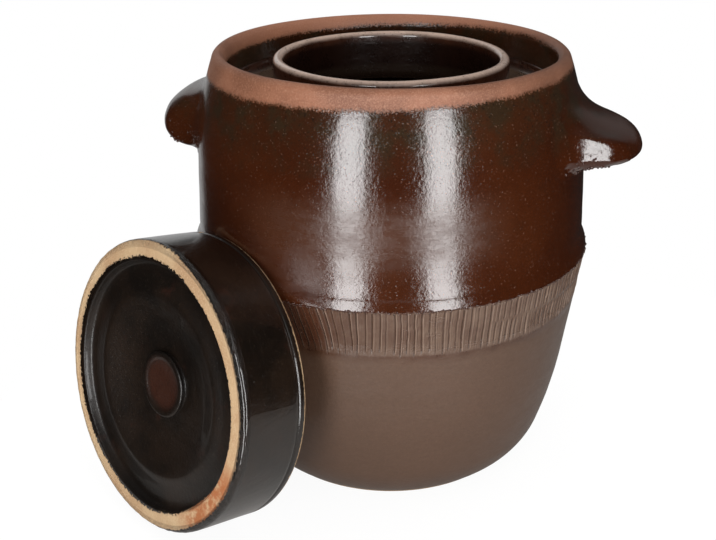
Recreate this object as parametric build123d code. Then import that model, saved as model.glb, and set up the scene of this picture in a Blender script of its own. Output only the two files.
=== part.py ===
from build123d import *
import math
import os

# Water seal pickle jar in glazed stoneware, in millimetres.
# The jar stands on z = 0 with its axis on Z. The lid leans against its front left side,
# with its open side to the jar, and a pair of half-round stones lies on the jar's floor.

# Jar: the thrown wall. Radii step in from the belly, and heights rise from the foot to the
# wall's foot above the bead. From there up they are measured down from the rim.
jar_height = 295.0
belly_radius = 138.4
swell_draw = 11.4
heel_draw = 13.4
foot_draw = 21.1
foot_bevel = 2.0
heel_height = 30.0
swell_rise = 54.0
belly_rise = 73.0
bead_proud = 0.6
bead_rise = 4.5
ledge_draw = 3.0
ledge_rise = 9.5
wall_draw = 1.8
shoulder_drop = 69.0
rim_draw = 10.8
rim_width = 10.9
lip_drop = 6.0
wall_thickness = 10.0
floor_thickness = 12.0
floor_inset = 8.5

# Jar: the water channel and the neck
channel_width = 31.4
channel_depth = 31.0
channel_floor_thickness = 9.0
channel_fillet = 8.0
coil_edge = 1.2
ledge_width = 6.0
ledge_thickness = 9.0
ledge_run = 14.0
neck_thickness = 7.2
neck_below_rim = 5.0
neck_edge = 3.0

# Jar: the ears, luted on by hand, so that the left one is higher and shorter
ear_half_width = 45.0
ear_half_thickness = 12.0
ear_turn = 12.5
right_ear_reach = 38.5
right_ear_drop = 57.0
left_ear_reach = 32.0
left_ear_drop = 52.0

# Lid: its skirt goes over the neck, and each part of its top steps in or down from the last
skirt_clearance = 6.5
skirt_depth = 27.0
lid_wall = 9.0
lid_edge = 2.5
lid_plate = 9.0
ring_width = 10.6
recess_lip = 5.0
recess_wall_run = 2.2
gutter_width = 20.9
gutter_dip = 1.0
crest_rise = 2.5
dish_fall = 9.0
bead_groove = 0.8
bead_from_edge = 6.0
lid_inner_fillet = 6.0

# Lid: the knob
knob_radius = 22.0
knob_undercut = 3.0
knob_height = 5.0
knob_land = 5.5
knob_hollow_depth = 2.2
knob_edge = 1.2

# Lid: how it leans on the jar
lean_angle = 9.3
lid_bearing = 45.2
contact_bearing = 52.3
lean_gap = 0.3

# Weight stones
stone_thickness = 22.0
stone_edge = 4.0
stone_split = 6.0
stone_clearance = 3.0
stone_hole_radius = 11.0
stone_seat_gap = 0.3

# Places on the jar that follow from the sizes above
swell_radius = belly_radius - swell_draw
heel_radius = swell_radius - heel_draw
foot_radius = heel_radius - foot_draw
floor_radius = foot_radius - floor_inset
bead_radius = belly_radius + bead_proud
wall_foot_radius = belly_radius - ledge_draw
shoulder_radius = wall_foot_radius - wall_draw
rim_radius = shoulder_radius - rim_draw
rim_inner_radius = rim_radius - rim_width
neck_radius = rim_inner_radius - channel_width
neck_inner_radius = neck_radius - neck_thickness
swell_height = heel_height + swell_rise
belly_height = swell_height + belly_rise
bead_height = belly_height + bead_rise
wall_foot_height = bead_height + ledge_rise
shoulder_height = jar_height - shoulder_drop
lip_height = jar_height - lip_drop
channel_z = jar_height - channel_depth
shelf_z = channel_z - channel_floor_thickness
neck_top = jar_height - neck_below_rim
stone_radius = floor_radius - stone_clearance

# Places on the lid
lid_inner_radius = neck_radius + skirt_clearance
lid_radius = lid_inner_radius + lid_wall
ring_inner_radius = lid_radius - lid_edge - ring_width
crest_radius = ring_inner_radius - gutter_width
gutter_depth = recess_lip + gutter_dip
crest_depth = gutter_depth - crest_rise
dish_depth = crest_depth + dish_fall
lid_height = dish_depth + lid_plate + skirt_depth
knob_neck_radius = knob_radius - knob_undercut
knob_hollow_radius = knob_radius - knob_land


def along(start, end, share):
    """The value a share of the way from start to end."""
    return start + (end - start) * share


# How far in the hollow's top has come on its way from the shoulder to the rim
hollow_top_share = 0.35
ledge_middle_share = 0.5
gutter_middle_share = 0.6
# A dish of an even curve has a quarter of its fall left half way in
dish_middle_share = 0.5
dish_fall_share = 0.75


def outer_wall():
    """Edges of the wall's outside, from the foot up to the rim, in the XZ plane."""
    foot = Line((foot_radius - foot_bevel, 0), (foot_radius, foot_bevel))
    taper = Line((swell_radius, swell_height), (belly_radius, belly_height))
    swell = TangentArc(taper @ 0, (heel_radius, heel_height), tangent=-(taper % 0))
    heel = TangentArc(swell @ 1, foot @ 1, tangent=swell % 1)
    bead = ThreePointArc(taper @ 1, (bead_radius, bead_height),
                         (along(bead_radius, wall_foot_radius, ledge_middle_share),
                          along(bead_height, wall_foot_height, ledge_middle_share)))
    ledge = Line(bead @ 1, (wall_foot_radius, wall_foot_height))
    wall = Line(ledge @ 1, (shoulder_radius, shoulder_height))
    shoulder = TangentArc(wall @ 1, (rim_radius, lip_height), tangent=wall % 1)
    return [foot, heel, swell, taper, bead, ledge, wall, shoulder]


def outer_form():
    """The jar's outside as a plug of solid clay, which the ears are cut to."""
    edges = outer_wall()
    top = Line(edges[-1] @ 1, (0, lip_height))
    axis = Line(top @ 1, (0, 0))
    base = Line((0, 0), edges[0] @ 0)
    profile = make_face(Plane.XZ * Wire([*edges, top, axis, base]))
    return revolve(profile, Axis.Z)


def crock_body():
    """Floor, wall and outer rim, with a ledge inside that carries the channel's floor."""
    edges = outer_wall()
    lip_mid = (rim_radius + rim_inner_radius) / 2
    lip = ThreePointArc(edges[-1] @ 1, (lip_mid, jar_height), (rim_inner_radius, lip_height))
    rim_wall = Line(lip @ 1, (rim_inner_radius, shelf_z))
    ledge_z = shelf_z - ledge_thickness
    ledge = Polyline([rim_wall @ 1, (rim_inner_radius - ledge_width, shelf_z),
                      (rim_inner_radius - ledge_width, ledge_z)])
    hollow_top = along(shoulder_radius, rim_radius, hollow_top_share) - wall_thickness
    under_ledge = Line(ledge @ 1, (hollow_top, ledge_z - ledge_run))
    inner_shoulder = Line(under_ledge @ 1, (shoulder_radius - wall_thickness, shoulder_height))
    inner_wall = Line(inner_shoulder @ 1, (belly_radius - wall_thickness, belly_height))
    inner_taper = Line(inner_wall @ 1, (swell_radius - wall_thickness, swell_height))
    inner_heel = (heel_radius - wall_thickness, heel_height)
    inner_swell = TangentArc(inner_taper @ 1, inner_heel, tangent=inner_taper % 1)
    bowl = TangentArc(inner_swell @ 1, (floor_radius, floor_thickness), tangent=inner_swell % 1)
    inside = Line(bowl @ 1, (0, floor_thickness))
    axis = Line(inside @ 1, (0, 0))
    base = Line(axis @ 1, edges[0] @ 0)
    outline = [*edges, lip, rim_wall, *ledge.edges(), under_ledge, inner_shoulder, inner_wall,
               inner_taper, inner_swell, bowl, inside, axis, base]
    return revolve(make_face(Plane.XZ * Wire(outline)), Axis.Z)


def channel_floor():
    """The flat ring on the body's ledge, with a coil smeared up into the rim's corner."""
    coil_top = (rim_inner_radius, channel_z + channel_fillet)
    coil_land = Line(coil_top, (rim_inner_radius - coil_edge, channel_z + channel_fillet))
    cove = RadiusArc(coil_land @ 1, (rim_inner_radius - coil_edge - channel_fillet, channel_z),
                     channel_fillet)
    rest = Polyline([cove @ 1, (neck_radius, channel_z), (neck_radius, shelf_z),
                     (rim_inner_radius, shelf_z), coil_top])
    return revolve(make_face(Plane.XZ * Wire([coil_land, cove, *rest.edges()])), Axis.Z)


def neck():
    """The inner rim: a short round neck that the channel's floor is luted to."""
    lip_radius = neck_thickness / 2
    inner = Line((neck_inner_radius, shelf_z + neck_edge),
                 (neck_inner_radius, neck_top - lip_radius))
    lip = ThreePointArc(inner @ 1, (neck_inner_radius + lip_radius, neck_top),
                        (neck_radius, neck_top - lip_radius))
    outer = Line(lip @ 1, (neck_radius, shelf_z))
    bottom = Line(outer @ 1, (neck_inner_radius + neck_edge, shelf_z))
    edge = RadiusArc(bottom @ 1, inner @ 0, neck_edge)
    return revolve(make_face(Plane.XZ * Wire([inner, lip, outer, bottom, edge])), Axis.Z)


# Each row is one section of an ear, from inside the wall out to the tip. The shares are of
# its reach, its half width, its half thickness for the lift of the middle, and for the height.
ear_section_shares = (
    (-0.42, 1.30, 0.83, 2.55),
    (0.02, 1.10, 0.50, 1.68),
    (0.25, 1.00, 0.30, 1.08),
    (0.52, 0.89, 0.17, 0.74),
    (0.79, 0.69, 0.06, 0.50),
    (0.955, 0.38, 0.00, 0.28),
    (1.0, 0.17, 0.00, 0.14),
)


def ear(bearing, reach, height):
    """A pressed lug with a flared root, luted to the wall at this bearing from +X."""
    sections = []
    for out, wide, lift, thick in ear_section_shares:
        middle = (shoulder_radius + reach * out, 0, height + ear_half_thickness * lift)
        plane = Plane(origin=middle, x_dir=(0, 1, 0), z_dir=(1, 0, 0))
        sections.append(plane * Ellipse(ear_half_width * wide, ear_half_thickness * thick))
    lug = loft(sections)
    return lug.rotate(Axis.Z, bearing) - outer_form()


def lid_profile():
    """Half section of the lid's cap, its top ring on z = 0 and its skirt hanging below."""
    skirt_end = -lid_height
    groove_z = skirt_end + bead_from_edge
    bottom = Line((lid_inner_radius + lid_edge, skirt_end), (lid_radius - lid_edge, skirt_end))
    foot = RadiusArc(bottom @ 1, (lid_radius, skirt_end + lid_edge), -lid_edge)
    side = Polyline([foot @ 1, (lid_radius, groove_z - bead_groove),
                     (lid_radius - bead_groove, groove_z), (lid_radius, groove_z + bead_groove),
                     (lid_radius, -lid_edge)])
    edge = RadiusArc(side @ 1, (lid_radius - lid_edge, 0), -lid_edge)
    ring = Line(edge @ 1, (ring_inner_radius, 0))
    step = Line(ring @ 1, (ring_inner_radius - recess_wall_run, -recess_lip))
    gutter_mid = (along(crest_radius, ring_inner_radius, gutter_middle_share), -gutter_depth)
    gutter = ThreePointArc(step @ 1, gutter_mid, (crest_radius, -crest_depth))
    dish_end = knob_radius + knob_edge
    dish_middle = (along(crest_radius, dish_end, dish_middle_share),
                   along(-crest_depth, -dish_depth, dish_fall_share))
    dish = ThreePointArc(gutter @ 1, dish_middle, (dish_end, -dish_depth))
    dish_floor = Line(dish @ 1, (0, -dish_depth))
    under_z = -dish_depth - lid_plate
    axis = Line(dish_floor @ 1, (0, under_z))
    under = Line(axis @ 1, (lid_inner_radius - lid_inner_fillet, under_z))
    cove = RadiusArc(under @ 1, (lid_inner_radius, under_z - lid_inner_fillet), lid_inner_fillet)
    inner = Line(cove @ 1, (lid_inner_radius, skirt_end + lid_edge))
    heel = RadiusArc(inner @ 1, bottom @ 0, -lid_edge)
    return [bottom, foot, *side.edges(), edge, ring, step, gutter, dish, dish_floor,
            axis, under, cove, inner, heel]


def lid_cap():
    """The cap: a skirt, a flat ring round the top and a dished recess inside it."""
    return revolve(make_face(Plane.XZ * Wire(lid_profile())), Axis.Z)


def lid_knob():
    """A low round grip with a hollowed top, standing in the dish."""
    foot_z = -dish_depth
    top_z = foot_z + knob_height
    base = Line((0, foot_z), (knob_neck_radius, foot_z))
    side = Line(base @ 1, (knob_radius, top_z - knob_edge))
    edge = ThreePointArc(side @ 1, (knob_radius - knob_edge / 3, top_z - knob_edge / 3),
                         (knob_radius - knob_edge, top_z))
    land = Line(edge @ 1, (knob_hollow_radius, top_z))
    ball = (knob_hollow_radius**2 + knob_hollow_depth**2) / (2 * knob_hollow_depth)
    half_turn = math.asin(knob_hollow_radius / ball) / 2
    hollow_middle = (ball * math.sin(half_turn),
                     top_z - knob_hollow_depth + ball * (1 - math.cos(half_turn)))
    hollow = ThreePointArc(land @ 1, hollow_middle, (0, top_z - knob_hollow_depth))
    axis = Line(hollow @ 1, (0, foot_z))
    profile = make_face(Plane.XZ * Wire([base, side, edge, land, hollow, axis]))
    return revolve(profile, Axis.Z)


def wall_points():
    """Points up the wall's outside, as radius and height, close enough to measure from."""
    steps = 24
    points = []
    for edge in outer_wall():
        start, turn = (0, 1) if (edge @ 0).Y < (edge @ 1).Y else (1, -1)
        points += [edge @ (start + turn * i / steps) for i in range(steps)]
    return [(point.X, point.Y) for point in points]


def wall_radius(points, z):
    """Outer radius of the jar at a height, between the two wall points beside it."""
    for (low_radius, low_z), (high_radius, high_z) in zip(points, points[1:]):
        if low_z <= z < high_z:
            return along(low_radius, high_radius, (z - low_z) / (high_z - low_z))
    return 0


def lean_place():
    """Where the lid's ring plane sits, so that its skirt meets the floor and the jar."""
    tilt = math.radians(lean_angle)
    bearing = math.radians(lid_bearing)
    facing = Vector(-math.sin(bearing) * math.cos(tilt), -math.cos(bearing) * math.cos(tilt),
                    math.sin(tilt))
    across = Vector(math.cos(bearing), -math.sin(bearing), 0)
    upward = facing.cross(across)
    if upward.Z < 0:
        upward = -upward
    edge_radius = lid_radius - lid_edge
    edge_drop = lid_height - lid_edge
    centre_z = edge_radius * math.cos(tilt) + edge_drop * math.sin(tilt) + lid_edge
    contact = math.radians(contact_bearing)
    out = Vector(-math.sin(contact), -math.cos(contact), 0)
    # The skirt's edge leaves its own reach behind the ring, so the first guess is the point
    # of contact and each pass moves the lid out or in by the gap that is left over.
    back = facing * edge_drop - upward * edge_radius
    centre = out * shoulder_radius + Vector(back.X, back.Y, 0)
    centre.Z = centre_z
    steps = 720
    passes = 6
    wall = wall_points()
    for _ in range(passes):
        gap = jar_height
        for i in range(steps):
            angle = 2 * math.pi * i / steps
            point = (centre - facing * edge_drop + across * edge_radius * math.cos(angle)
                     + upward * edge_radius * math.sin(angle))
            reach = math.hypot(point.X, point.Y) - wall_radius(wall, point.Z)
            gap = min(gap, reach - lid_edge)
        centre = centre + out * (lean_gap - gap)
    print("lid ring centre", [round(v, 2) for v in centre], "facing", [round(v, 4) for v in facing])
    return Plane(origin=centre, x_dir=across, z_dir=facing)


def weight_stone(side):
    """Half a disc that rests on the jar's floor, on the +Y or the -Y side of the split."""
    disc = Cylinder(stone_radius, stone_thickness, align=(Align.CENTER, Align.CENTER, Align.MIN))
    reach = 2 * stone_radius
    keep = Box(reach, reach, reach, align=(Align.CENTER, Align.MIN, Align.CENTER))
    half = disc & (Pos(0, stone_split / 2, 0) * keep)
    half = fillet(half.edges().filter_by(GeomType.CIRCLE), stone_edge)
    hole = Pos(0, stone_radius / 2, 0) * Cylinder(stone_hole_radius, reach)
    half = half - hole
    seated = Pos(0, 0, floor_thickness + stone_seat_gap) * half
    return seated if side > 0 else seated.rotate(Axis.Z, 180)


def build():
    """Every piece by its node's name."""
    lean = lean_place()
    return {
        "crock_body": crock_body(),
        "channel_floor": channel_floor(),
        "neck": neck(),
        "ear_right": ear(-ear_turn, right_ear_reach, jar_height - right_ear_drop),
        "ear_left": ear(180 - ear_turn, left_ear_reach, jar_height - left_ear_drop),
        "lid_cap": lean * lid_cap(),
        "lid_knob": lean * lid_knob(),
        "weight_back": weight_stone(1),
        "weight_front": weight_stone(-1),
    }


os.makedirs("parts", exist_ok=True)
for name, piece in build().items():
    piece.label = name
    export_step(piece, f"parts/{name}.step")
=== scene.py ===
import math

import bpy
from mathutils import Matrix, Vector, noise


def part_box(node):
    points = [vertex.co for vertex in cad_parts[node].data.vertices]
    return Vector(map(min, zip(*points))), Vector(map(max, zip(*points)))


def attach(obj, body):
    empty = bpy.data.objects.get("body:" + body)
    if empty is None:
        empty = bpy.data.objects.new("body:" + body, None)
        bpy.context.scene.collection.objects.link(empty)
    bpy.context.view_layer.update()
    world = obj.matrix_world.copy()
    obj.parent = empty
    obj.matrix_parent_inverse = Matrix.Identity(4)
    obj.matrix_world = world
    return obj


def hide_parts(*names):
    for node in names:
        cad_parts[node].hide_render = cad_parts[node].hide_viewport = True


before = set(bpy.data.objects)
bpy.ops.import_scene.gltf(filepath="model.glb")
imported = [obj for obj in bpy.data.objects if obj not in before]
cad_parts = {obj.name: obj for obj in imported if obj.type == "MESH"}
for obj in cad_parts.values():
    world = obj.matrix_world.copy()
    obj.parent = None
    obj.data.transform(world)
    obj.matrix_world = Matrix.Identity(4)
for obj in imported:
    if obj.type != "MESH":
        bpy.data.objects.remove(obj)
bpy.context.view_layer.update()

# Water seal pickle jar: a glazed stoneware crock, its lid leaning on it, stones inside.
# Lengths are metres and angles degrees. Azimuth 0 faces the camera and grows to the right.

# The jar's outline, as radius and height
JAR_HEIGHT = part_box("crock_body")[1].z
FOOT = (0.0925, 0.002)
FOOT_BEVEL = 0.002
HEEL = (0.1136, 0.030)
SWELL = (0.1270, 0.084)
BELLY = (0.1384, 0.157)
BEAD = (0.1390, 0.1615)
WALL_FOOT = (0.13535, 0.1735)
SHOULDER = (0.1336, 0.226)
RIM_RADIUS = 0.1217
RIM_INNER_RADIUS = 0.1119
LIP_DROP = 0.006
WALL = 0.010
FLOOR_RADIUS = 0.084
FLOOR_THICKNESS = 0.012

# The channel and the neck
CHANNEL_Z = JAR_HEIGHT - 0.031
CHANNEL_THICKNESS = 0.009
SHELF_Z = CHANNEL_Z - CHANNEL_THICKNESS
COIL_RISE = 0.008
COIL_EDGE = 0.0012
LEDGE_WIDTH = 0.006
LEDGE_THICKNESS = 0.009
LEDGE_ROOT_RADIUS = 0.1198
LEDGE_ROOT_DROP = 0.014
NECK_RADIUS = 0.0805
NECK_THICKNESS = 0.0072
NECK_TOP = JAR_HEIGHT - 0.005
COVE_WIDTH = 0.0045
COVE_HEIGHT = 0.006

# The combed band under the bead. Half a groove's width is a share of its comb's spacing.
COMB_TOP = 0.1606
COMB_LOW = 0.1275
COMB_STROKES = 190
FINE_PER_STROKE = 3
GROOVE_HALF = 0.140
FINE_GROOVE_HALF = 0.17
COMB_SUNK = 0.0005
COMB_DEPTH = 0.0008
COMB_BURR = 0.0006

# Crumbs of clay lie only in front of this y
CRUMB_BACK_LIMIT = 0.1372

# Columns of points round the jar and its neck, round the combed band and round the lid
COARSE = 256
FINE = 2048
LID_COLUMNS = 384

# The ears. Their lift is how much higher their ends sit than their middles.
EAR_TURN = 12.5
EAR_RIGHT_HEIGHT = JAR_HEIGHT - 0.057
EAR_LEFT_HEIGHT = JAR_HEIGHT - 0.052
EAR_RIGHT_REACH = 0.0375
EAR_LEFT_REACH = 0.030
EAR_RIGHT_LIFT = 0.011
EAR_LEFT_LIFT = 0.0
EAR_BACK_DEPTH = 0.005

# The lid
lid_low, lid_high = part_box("lid_cap")
LID_LEAN = 9.3
LID_BEARING = 45.2
LID_RADIUS = 0.096
LID_HEIGHT = 0.0485
LID_WALL = 0.009
LID_EDGE = 0.0025
LID_PLATE = 0.009
RING_INNER_RADIUS = 0.0829
CREST = (0.062, -0.0035)
DISH_DEPTH = 0.0125
KNOB_RADIUS = 0.022
KNOB_HEIGHT = 0.005
RUST_SPOT = (0.071, -0.054, 0.0)

# The photograph's camera
IMAGE_WIDTH = 716
FOCAL_PIXELS = 1158
SENSOR = 36.0
CAMERA_PLACE = Vector((0, -0.77887, 0.460924))
CAMERA_PITCH = 0.401
CAMERA_YAW = -0.0298
CAMERA_ROLL = -0.006

# The table, the two softboxes and the way to the high lamp
TABLE_MIDDLE = (0.06, -0.04)
TABLE_RADIUS = 0.38
TABLE_TOP = -0.0003
TABLE_CORNERS = 96
SOFTBOX_LEFT = -21.4
SOFTBOX_RIGHT = 27.6
SOFTBOX_DISTANCE = 1.25
SOFTBOX_WIDTH = 0.34
SOFTBOX_LOW = -0.42
SOFTBOX_HIGH = 0.72
SOFTBOX_POWER = 11.6
HIGH_LAMP = (0.053, -0.748, 0.656)


def direction(azimuth):
    """The level direction at an azimuth counted from the camera's side, in degrees."""
    a = math.radians(azimuth)
    return Vector((math.sin(a), -math.cos(a), 0))


def between(a, b, share):
    return a + (b - a) * share


def smooth(start, end, value):
    """0 at start, 1 at end and level beyond them. start may be the larger."""
    share = min(max((value - start) / (end - start), 0), 1)
    return share * share * (3 - 2 * share)


# Outlines: lists of (radius, height) points

def straight(start, end, step):
    """Points from start to end, start left out."""
    count = max(1, round(math.dist(start, end) / step))
    return [(between(start[0], end[0], i / count), between(start[1], end[1], i / count))
            for i in range(1, count + 1)]


def turning(start, end, heading, step):
    """Points along the arc that leaves start on this heading and meets end."""
    chord = math.atan2(end[1] - start[1], end[0] - start[0])
    leave = math.atan2(heading[1], heading[0])
    half = (chord - leave + math.pi) % (2 * math.pi) - math.pi
    if abs(half) < 1e-4:
        return straight(start, end, step)
    radius = math.dist(start, end) / (2 * math.sin(half))
    centre = (start[0] - radius * math.sin(leave), start[1] + radius * math.cos(leave))
    count = max(2, round(abs(radius * 2 * half) / step))
    points = []
    for i in range(1, count + 1):
        angle = leave + 2 * half * i / count
        points.append((centre[0] + radius * math.sin(angle), centre[1] - radius * math.cos(angle)))
    return points


def heading_at_end(points):
    return (points[-1][0] - points[-2][0], points[-1][1] - points[-2][1])


def curve_through(points, steps):
    """A smooth curve through the points, steps to a span."""
    out = [points[0]]
    for i in range(len(points) - 1):
        a = points[max(i - 1, 0)]
        b = points[i]
        c = points[i + 1]
        d = points[min(i + 2, len(points) - 1)]
        for k in range(1, steps + 1):
            t = k / steps
            out.append(tuple(
                0.5 * (2 * q + (r - p) * t + (2 * p - 5 * q + 4 * r - s) * t * t
                       + (3 * q - p - 3 * r + s) * t ** 3)
                for p, q, r, s in zip(a, b, c, d)))
    return out


def jar_outside(step=0.0032):
    """The wall's outline from the foot to the rim, in three parts. The middle one is the
    comb's band and the bead over it, whose rows are set close."""
    taper = (BELLY[0] - SWELL[0], BELLY[1] - SWELL[1])
    up = turning(SWELL, HEEL, (-taper[0], -taper[1]), step)
    heel = turning(HEEL, FOOT, heading_at_end(up), step / 1.6)
    low = [FOOT] + list(reversed(heel[:-1])) + list(reversed(up))
    low += straight(low[-1], SWELL, step)
    start = COMB_LOW - 0.0015
    band_low = (between(SWELL[0], BELLY[0], (start - SWELL[1]) / taper[1]), start)
    low += straight(SWELL, band_low, step)
    bead = curve_through([BELLY, (BEAD[0] - 0.0001, BEAD[1] - 0.0018), BEAD, (0.1381, 0.1655),
                          (0.1364, 0.1692), WALL_FOOT], 4)[1:]
    band = straight(band_low, BELLY, 0.00157) + bead[:9]
    wall = turning(WALL_FOOT, SHOULDER, (-0.04, 1), step)
    shoulder = turning(SHOULDER, (RIM_RADIUS, JAR_HEIGHT - LIP_DROP), (-0.033, 1), step)
    return low, band, bead[9:] + wall + shoulder


WALL_ROWS = [row for part in jar_outside() for row in part]


def radius_at(z):
    """The wall's outer radius at a height, for what sits on it."""
    for (r0, z0), (r1, z1) in zip(WALL_ROWS, WALL_ROWS[1:]):
        if z0 <= z <= z1:
            return between(r0, r1, (z - z0) / (z1 - z0))
    return WALL_ROWS[-1][0] if z > WALL_ROWS[-1][1] else WALL_ROWS[0][0]


# Meshes

def mesh_object(name, points, faces, material):
    mesh = bpy.data.meshes.new(name)
    mesh.from_pydata(points, [], faces)
    mesh.validate()
    mesh.polygons.foreach_set("use_smooth", [True] * len(mesh.polygons))
    mesh.materials.append(material)
    piece = bpy.data.objects.new(name, mesh)
    bpy.context.scene.collection.objects.link(piece)
    return piece


def thrown(name, outline, material, shape, place=None):
    """A pot turned on the wheel. The outline's rows are (radius, height, columns), where the
    columns may double or halve from row to row, and radius 0 closes a pole. shape moves a
    point given as radius, height and azimuth, and place turns the finished points."""
    points = []
    rings = []
    faces = []
    for radius, height, columns in outline:
        if radius < 1e-6:
            columns = 1
        ring = []
        for i in range(columns):
            angle = 2 * math.pi * i / columns
            r, z = shape(radius, height, angle)
            point = Vector((r * math.sin(angle), -r * math.cos(angle), z))
            ring.append(len(points))
            points.append(place @ point if place else point)
        rings.append(ring)
    for low, high in zip(rings, rings[1:]):
        faces += bridge(low, high)
    return mesh_object(name, points, faces, material)


def bridge(low, high):
    """Faces between two rings of the same number of points, or half or twice as many."""
    faces = []
    n = len(low)
    m = len(high)
    if n == 1:
        return [(low[0], high[(i + 1) % m], high[i]) for i in range(m)]
    if m == 1:
        return [(low[i], low[(i + 1) % n], high[0]) for i in range(n)]
    if n == m:
        for i in range(n):
            j = (i + 1) % n
            faces.append((low[i], low[j], high[j], high[i]))
    elif m == 2 * n:
        for i in range(n):
            j = (i + 1) % n
            a, b, c = [high[(2 * i + k) % m] for k in range(3)]
            faces += [(low[i], b, a), (low[i], low[j], b), (low[j], c, b)]
    else:
        for i in range(m):
            j = (i + 1) % m
            a, b, c = [low[(2 * i + k) % n] for k in range(3)]
            faces += [(a, b, high[i]), (b, high[j], high[i]), (b, c, high[j])]
    return faces


def with_columns(points, columns):
    return [(r, z, columns) for r, z in points]


# Shader and field maths

class Field:
    """A socket in a node tree. Sums and products of it add Math nodes to that tree."""

    def __init__(self, tree, socket=None):
        self.tree = tree
        self.socket = socket

    def node(self, kind, settings=None, sockets=None, out=0):
        """Adds any other node: its settings first, then its sockets' values or links."""
        made = self.tree.nodes.new(kind)
        for name, value in (settings or {}).items():
            setattr(made, name, value)
        for name, value in (sockets or {}).items():
            socket = made.inputs[name]
            if isinstance(value, Field):
                self.tree.links.new(value.socket, socket)
            elif isinstance(value, tuple) and socket.type == "RGBA":
                socket.default_value = (*value, 1)
            else:
                socket.default_value = value
        return Field(self.tree, made.outputs[out] if made.outputs else None)

    def math(self, operation, *others):
        return self.node("ShaderNodeMath", {"operation": operation},
                         dict(enumerate((self, *others))))

    def __add__(self, other):
        return self.math("ADD", other)

    __radd__ = __add__

    def __sub__(self, other):
        return self.math("SUBTRACT", other)

    def __rsub__(self, other):
        return self.math("MULTIPLY_ADD", -1.0, other)

    def __mul__(self, other):
        return self.math("MULTIPLY", other)

    __rmul__ = __mul__

    def __truediv__(self, other):
        return self.math("DIVIDE", other)

    def above(self, limit):
        return self.math("GREATER_THAN", limit)

    def below(self, limit):
        return self.math("LESS_THAN", limit)

    def size(self):
        return self.math("ABSOLUTE")

    def largest(self, *others):
        """The largest of this and the others."""
        most = self
        for other in others:
            most = most.math("MAXIMUM", other)
        return most

    def ramp(self, low, high):
        """0 below low, 1 above high, smooth between them."""
        return self.node("ShaderNodeMapRange", {"interpolation_type": "SMOOTHSTEP"},
                         {"Value": self, "From Min": low, "From Max": high})

    def within(self, start, full, fading, end):
        """1 from full to fading, 0 before start and past end, smooth between them."""
        return self.ramp(start, full) * (1 - self.ramp(fading, end))

    def mix(self, first, second):
        """A colour from first to second as this goes from 0 to 1."""
        return self.node("ShaderNodeMix", {"data_type": "RGBA"},
                         {0: self, 6: first, 7: second}, out=2)

    def split(self):
        """The x, y and z of a vector."""
        parts = self.node("ShaderNodeSeparateXYZ", None, {0: self}).socket.node.outputs
        return [Field(self.tree, part) for part in parts]

    def stretched(self, x, y, z):
        return self.node("ShaderNodeVectorMath", {"operation": "MULTIPLY"},
                         {0: self, 1: (x, y, z)})

    def noise(self, scale, detail=3.0, roughness=0.5):
        """Cloudy noise of this many features to the metre, about 0.5."""
        return self.node("ShaderNodeTexNoise", None,
                         {"Vector": self, "Scale": scale, "Detail": detail,
                          "Roughness": roughness})

    def uneven(self, scale, detail=3.0, roughness=0.5):
        """The same noise, about 0."""
        return self.noise(scale, detail, roughness) - 0.5

    def cells(self, scale):
        """Distance to the nearest of points scattered this many to the metre."""
        return self.node("ShaderNodeTexVoronoi", None, {"Vector": self, "Scale": scale})


def from_axis(x, y):
    """How far a place is from the axis."""
    return (x * x + y * y).math("SQRT")


def new_material(name):
    """An empty material and the coordinates that its patterns read."""
    material = bpy.data.materials.new(name)
    material.use_nodes = True
    material.node_tree.nodes.clear()
    start = Field(material.node_tree)
    coords = start.node("ShaderNodeTexCoord", None, None, out=3)
    return material, coords


def bumped(coords, height, distance):
    return coords.node("ShaderNodeBump", None, {"Height": height, "Distance": distance})


def finish_material(material, coords, **sockets):
    """Closes a material with a Principled shader. Names use _ for a space."""
    values = {name.replace("_", " "): value for name, value in sockets.items()}
    shader = coords.node("ShaderNodeBsdfPrincipled", None, values)
    coords.node("ShaderNodeOutputMaterial", None, {0: shader})
    return material


def glaze_skin(coords, rings=0.15):
    """Height of a fired glaze: orange peel, a slow ripple, pinholes and throwing rings."""
    peel = coords.noise(360.0, 3.0, 0.7) * 0.75 + coords.noise(120.0, 2.0) * 0.225
    ripple = coords.stretched(1, 1, 2.4).noise(42.0, 1.0)
    pinholes = coords.cells(420.0).ramp(0.02, 0.16) * 0.3
    turns = coords.stretched(14, 14, 330).uneven(1.0, 2.0)
    return peel + ripple + pinholes + turns * rings


def raw_clay(coords, dark, light, pale):
    """Unglazed clay: rusty clouds under a sandy grain. Gives its colour and its grain."""
    grain = coords.noise(1100.0, 3.0, 0.7)
    sand = coords.noise(520.0, 2.0, 0.6).ramp(0.55, 0.70)
    cloud = coords.noise(36.0, 4.0).ramp(0.35, 0.70).mix(dark, light)
    sandy = (grain.ramp(0.42, 0.75) * 0.75).mix(cloud, pale)
    return (sand * 0.35).mix(sandy, dark), grain


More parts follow.
